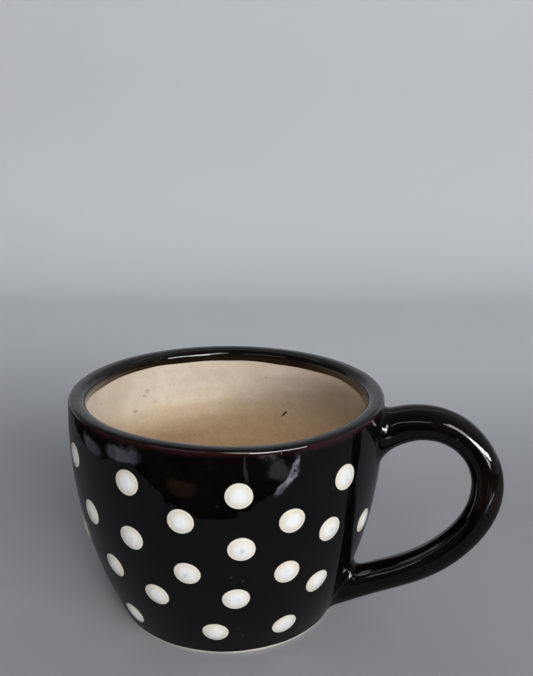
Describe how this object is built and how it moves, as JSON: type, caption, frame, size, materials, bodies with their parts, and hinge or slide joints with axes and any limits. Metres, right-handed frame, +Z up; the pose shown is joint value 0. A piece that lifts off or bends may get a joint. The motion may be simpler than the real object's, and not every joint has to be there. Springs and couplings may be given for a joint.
{
  "type": "mug",
  "caption": "Wide glazed stoneware mug that tapers to a small flat foot, with a thick rim, raised dots all round and one round loop handle.",
  "frame": {"origin": "centre of the foot ring's flat face, on the table", "axes": "+Z up through the middle of the cup; +X from the middle of the cup towards the handle; +Y completes the right-handed frame"},
  "size_m": [0.1381, 0.1004, 0.074],
  "materials": {
    "stoneware": "matte",
    "clay_slip": "matte",
    "black_glaze": "gloss",
    "cream_glaze": "satin",
    "white_dots": "gloss"
  },
  "bodies": {
    "root": {"cup_body": "stoneware", "handle": "stoneware", "upper_joint_slip": "clay_slip", "lower_joint_slip": "clay_slip", "outer_glaze": "black_glaze", "handle_glaze": "black_glaze", "inner_glaze": "cream_glaze", "dots_ring_1": "white_dots", "dots_ring_2": "white_dots", "dots_ring_3": "white_dots", "dots_ring_4": "white_dots", "dots_ring_5": "white_dots", "dots_ring_6": "white_dots"}
  },
  "joints": []
}
